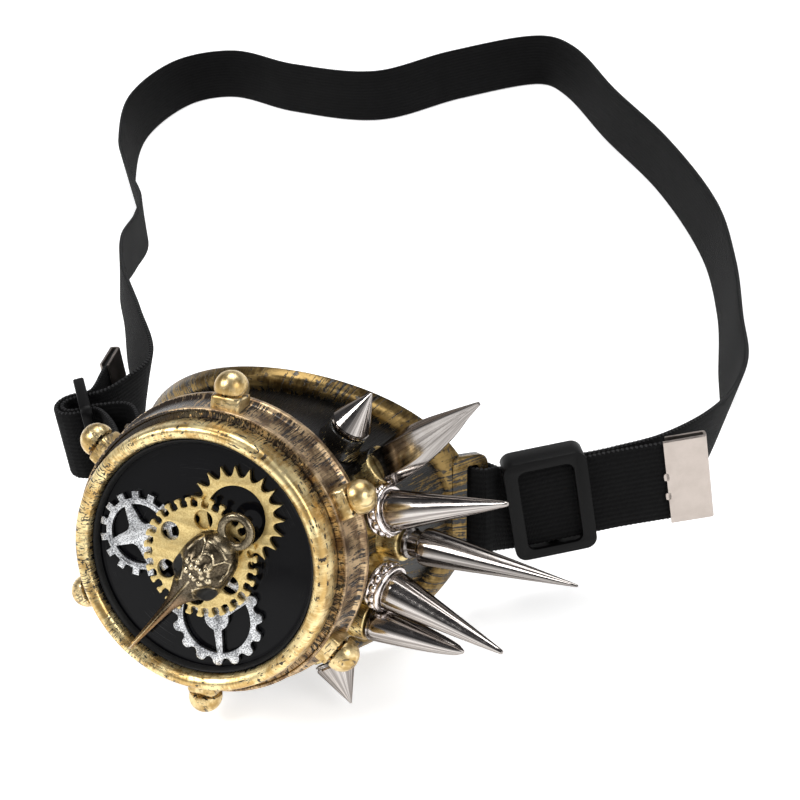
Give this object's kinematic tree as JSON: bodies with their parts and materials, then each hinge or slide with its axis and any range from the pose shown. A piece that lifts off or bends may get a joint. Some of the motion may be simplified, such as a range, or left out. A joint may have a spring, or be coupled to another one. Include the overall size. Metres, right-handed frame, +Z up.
{
  "type": "one-eye goggle with head strap",
  "caption": "Round one-eye goggle: a knobbed screw cap over a dark lens that carries glued gears and a bird skull charm, metal spikes on one side, and an adjustable elastic head strap.",
  "frame": {"origin": "middle of the bounding box's base, on the table that the goggle and its strap lie on", "axes": "+Z up; +Y from the goggle back to the far end of the head strap; +X to the right as seen from in front of the lens, the side with the spikes"},
  "size_m": [0.2726, 0.3888, 0.0746],
  "materials": {
    "antique_gold": "bright antique gold, cast and plated, with black and brown streaks rubbed into it",
    "brushed_bronze": "dark bronze brown, brushed round the ring",
    "dark_bronze": "dark antique bronze with light edges",
    "pale_brass": "pale matte brass, cast grain",
    "grainy_silver": "antique silver with a sandy grain",
    "mirror_chrome": "mirror polish",
    "nickel_sheet": "bright nickel-plated sheet",
    "black_lens": "opaque glossy black",
    "black_gasket": "matte black",
    "black_webbing": "black ribbed elastic webbing",
    "black_plastic": "satin black"
  },
  "bodies": {
    "cup": {"cup_shell": "antique_gold", "spike_1_small": "mirror_chrome", "spike_2_blade": "mirror_chrome", "spike_3_long": "mirror_chrome", "spike_4_slender": "mirror_chrome", "spike_5_long": "mirror_chrome", "spike_6_bullet": "mirror_chrome", "spike_7_small": "mirror_chrome", "collar_3": "grainy_silver", "collar_5": "grainy_silver", "strap_loop": "black_webbing", "strap_end_right": "black_webbing", "strap_end_left": "black_webbing", "clip_right": "nickel_sheet", "clip_left": "nickel_sheet"},
    "lens_pack": {"lens": "black_lens", "lens_gasket": "black_gasket", "spoked_gear": "grainy_silver", "six_hole_gear": "pale_brass", "sawtooth_ring": "pale_brass", "sprocket": "grainy_silver", "bird_skull_charm": "dark_bronze"},
    "cap": {"front_bezel": "antique_gold", "cap_ring": "brushed_bronze", "cap_knob_1": "antique_gold", "cap_knob_2": "antique_gold", "cap_knob_3": "antique_gold", "cap_knob_4": "antique_gold", "cap_knob_5": "antique_gold", "cap_knob_6": "antique_gold"},
    "adjuster_right": {"slider_right": "black_plastic"},
    "adjuster_left": {"slider_left": "black_plastic"}
  },
  "joints": [
    {"name": "cap_travel", "type": "slide", "parent": "cup", "child": "lens_pack", "axis": [0, -0.9397, 0.342], "range_m": [0, 0.006]},
    {"name": "cap_turn", "type": "hinge", "parent": "lens_pack", "child": "cap", "pos_m": [0.04125, -0.18408, 0.0423], "axis": [0, -0.9397, 0.342], "range_deg": [0, 1080]},
    {"name": "slider_right_slide", "type": "slide", "parent": "cup", "child": "adjuster_right", "axis": [0.908, 0.4157, 0.0523], "range_m": [-0.0004, 0.006]},
    {"name": "slider_left_swing", "type": "hinge", "parent": "cup", "child": "adjuster_left", "pos_m": [-0.02325, -0.11758, 0.0229], "axis": [0, 0, 1], "range_deg": [-10, 3]}
  ],
  "couplings": [
    {"joint": "cap_travel", "follows": "cap_turn", "m_per_rad": 0.00031831}
  ]
}
